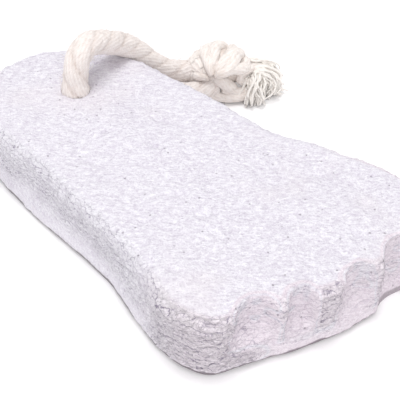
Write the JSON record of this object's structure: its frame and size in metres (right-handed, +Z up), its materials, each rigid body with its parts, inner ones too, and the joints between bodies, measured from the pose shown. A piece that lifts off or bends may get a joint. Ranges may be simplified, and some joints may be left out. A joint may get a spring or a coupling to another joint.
{
  "type": "pumice stone",
  "caption": "Foot-shaped pumice stone for smoothing skin, with scooped toes and a knotted cotton hanging rope through the heel.",
  "frame": {"origin": "on the surface the stone lies on, on its flat underside, close to the middle of its length and width", "axes": "+Y along the stone from the toes to the heel, +Z up out of the sole's flat top, +X to the big toe's side"},
  "size_m": [0.0978, 0.1158, 0.0304],
  "materials": {
    "pumice": "rough open-pored matte",
    "cotton_rope": "twisted matte cotton",
    "cotton_fray": "frayed matte cotton"
  },
  "bodies": {
    "root": {"pumice_stone": "pumice", "rope": "cotton_rope", "rope_knot": "cotton_rope", "rope_tail_front": "cotton_fray", "rope_tail_side": "cotton_fray"}
  },
  "joints": []
}
